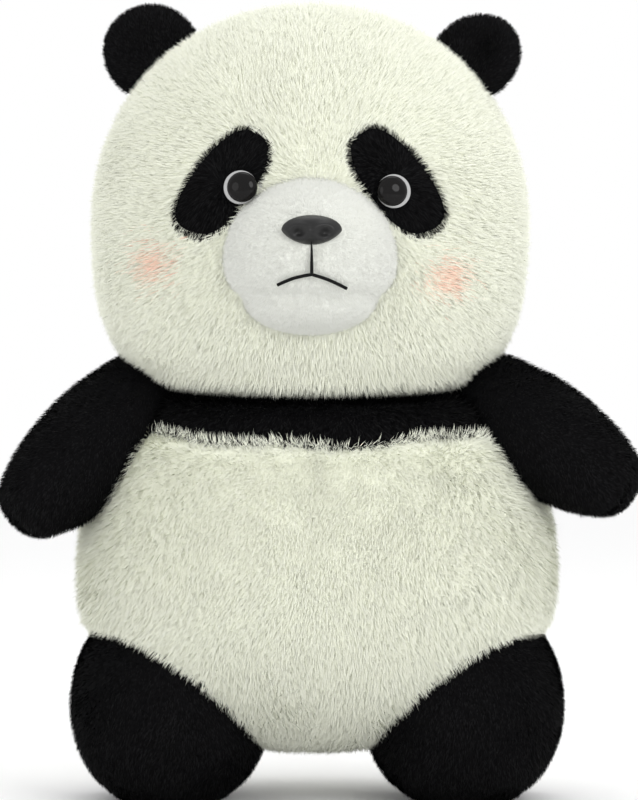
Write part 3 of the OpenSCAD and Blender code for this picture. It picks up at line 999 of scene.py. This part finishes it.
def build_eyes():
    """A backing painted mid grey as painted shade, with a dark dome on it, a little towards the nose, so
    that a crescent shows.
    """
    # painted shade and reflection: the white backing is coloured mid grey, for the shade and dark
    # reflection beside the dome's black recess
    grey = principled("eye_ring", Base_Color=rgba(0.36, 0.36, 0.36), Roughness=0.35, Coat_Weight=0.2,
                      Coat_Roughness=0.1)
    dark = principled("eye_gloss", Base_Color=rgba(0.006, 0.0055, 0.0055), Roughness=0.06,
                      Specular_IOR_Level=0.13)
    for name in SIDES:
        middle = span(f"eye_white_{name}")[0]
        p, n = head_surface(middle[0], middle[2], 1 * MM)
        p[1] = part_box(f"eye_white_{name}")[0][1] + 2.0 * MM
        look = unit(0.55 * n + [0, -0.45, 0])
        back = turned(f"eye_backing_{name}", cap(EYE_BACKING_R, 1.6 * MM, 0.0), p, look)
        dress(back, grey, "head", "eye_backing", f"eye_white_{name}")
        inward = np.array([math.copysign(EYE_INWARD, -middle[0]), 0, 0])
        dome = turned(f"eye_pupil_{name}", cap(EYE_DOME_R, 3.2 * MM, 0.9 * MM), p + inward, look)
        dress(dome, dark, "head", "gloss_dark_plastic", f"eye_dome_{name}")


def build_nose():
    matte = principled("nose_matte", Roughness=0.42, Base_Color=rgba(0.009, 0.009, 0.009),
                       Specular_IOR_Level=0.3)
    add_weave(matte, 700, 0.12 * MM)
    middle, half = span("nose")
    centre = np.array([middle[0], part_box("nose")[0][1] + NOSE_DEEP, middle[2]])

    def shape(s):
        x, y, z = s.T
        across = np.minimum(np.abs(x), 0.999)
        above = (1 - across * across) ** 0.5
        below = (1 - across ** 1.8) ** 0.72
        edge = np.where(z > 0, above, below) / np.sqrt(1 - across * across)
        p = np.stack([x * half[0], y * NOSE_DEEP, z * half[2] * edge], 1)
        dent = 0.7 * MM * hill(p[:, 0], 1.1 * MM) * (z < 0.1)
        for side in (-1, 1):
            dx, dz = p[:, 0] - side * NOSTRIL[0], p[:, 2] - NOSTRIL[1]
            d = np.hypot(dx / 1.35, dz)
            dent = dent + 2.6 * MM * hill(d, 1.7 * MM) - 0.5 * MM * hill(d - 3.2 * MM, 1.1 * MM)
        p[:, 1] += dent * (y < 0)
        return centre + p

    dress(ball_mesh("nose_shell", 5, shape), matte, "head", "nose_plastic", "nose")


def build_mouth():
    """Embroidered mouth: thread laid along three lines on the muzzle."""
    thread = principled("mouth_thread", Base_Color=rgba(0.006, 0.006, 0.006), Roughness=0.8,
                        Specular_IOR_Level=0.1)
    curve = bpy.data.curves.new("mouth_thread", "CURVE")
    curve.dimensions = "3D"
    curve.bevel_depth = THREAD_R
    curve.bevel_resolution = 3
    curve.use_fill_caps = True
    for line in MOUTH_LINES:
        spline = curve.splines.new("NURBS")
        spline.points.add(len(line) - 1)
        for q, (x, z) in zip(spline.points, line):
            q.co = (*muzzle_point(x * MM, z * MM, 1.1 * MM), 1)
            q.radius = 0.45 if z > THIN_ABOVE else 1.15
        spline.use_endpoint_u = True
        spline.order_u = 3
    curve.materials.append(thread)
    o = add_object("mouth_thread", curve)
    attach(o, "head")
    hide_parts("mouth_stitching")


def build_neck():
    """Black plush sleeve between the shoulders and the head."""
    rings, turns = 12, 64
    low, high = NECK[2] - SLEEVE_DOWN, NECK[2] + SLEEVE_UP
    verts = []
    for i in range(rings + 1):
        f = i / rings
        r = SLEEVE_R + SLEEVE_BULGE * math.sin(math.pi * f)
        for j in range(turns):
            t = 2 * math.pi * j / turns
            x = NECK[0] + r * math.cos(t)
            y = NECK[1] + SLEEVE_FLAT * r * math.sin(t)
            verts.append((x, y, low + (high - low) * f))
    mesh = bpy.data.meshes.new("neck_sleeve")
    mesh.from_pydata(verts, [], ring_faces(rings, turns))
    make_smooth(mesh)
    mesh.materials.append(BLACK_CLOTH)
    o = add_object("neck_sleeve", mesh)
    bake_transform(o)
    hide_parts("neck_seam")


def finish_kept_nodes():
    finish_node("neck_filling", FIBRE)
    washer = principled("washer_grey", Base_Color=rgba(0.75, 0.75, 0.74), Roughness=0.45)
    add_weave(washer, 500, 0.1 * MM)
    for node in ("nose_washer", "eye_washer_left", "eye_washer_right"):
        finish_node(node, washer)


# ---------- studio ----------
def area_light(name, place, target, size, power):
    light = bpy.data.lights.new(name, "AREA")
    light.shape = "DISK"
    light.size = size
    light.energy = power
    o = add_object(name, light)
    o.location = place
    o.rotation_euler = (Vector(target) - Vector(place)).to_track_quat("-Z", "Y").to_euler()


def build_lights():
    world = bpy.data.worlds.new("studio")
    bpy.context.scene.world = world
    world.use_nodes = True
    world.node_tree.nodes["Background"].inputs["Color"].default_value = rgba(1, 1, 1)
    world.node_tree.nodes["Background"].inputs["Strength"].default_value = 1.0
    area_light("key", (0.9, -1.5, 0.8), (0, 0, 0.16), 0.9, 11)
    area_light("fill", (-1.2, -1.3, 0.5), (0, 0, 0.16), 1.0, 4)
    area_light("top", (0.1, 0.3, 1.6), (0, 0, 0.2), 0.9, 4)


def build_floor():
    half = 6.0
    mesh = bpy.data.meshes.new("floor")
    mesh.from_pydata([(-half, -half, 0), (half, -half, 0), (half, half, 0), (-half, half, 0)], [],
                     [(0, 1, 2, 3)])
    mesh.materials.append(principled("floor", Base_Color=rgba(0.95, 0.95, 0.95), Roughness=0.9))
    add_object("floor", mesh)


def build_camera():
    """A level camera in front of the panda, at half its height."""
    camera = bpy.data.cameras.new("camera")
    camera.lens = 154
    camera.sensor_width = 36
    o = add_object("camera", camera)
    o.location = (0.0009, -1.5, 0.1752)
    o.rotation_euler = (math.radians(90), 0, 0)
    bpy.context.scene.camera = o
    bpy.context.scene.view_settings.view_transform = "Standard"


build_head()
build_torso()
for side_name in SIDES:
    build_leg(side_name)
    build_arm(side_name)
    build_ear(side_name)
build_muzzle()
for side_name in SIDES:
    build_patch(side_name)
build_eyes()
build_nose()
build_mouth()
build_neck()
finish_kept_nodes()
build_lights()
build_floor()
build_camera()
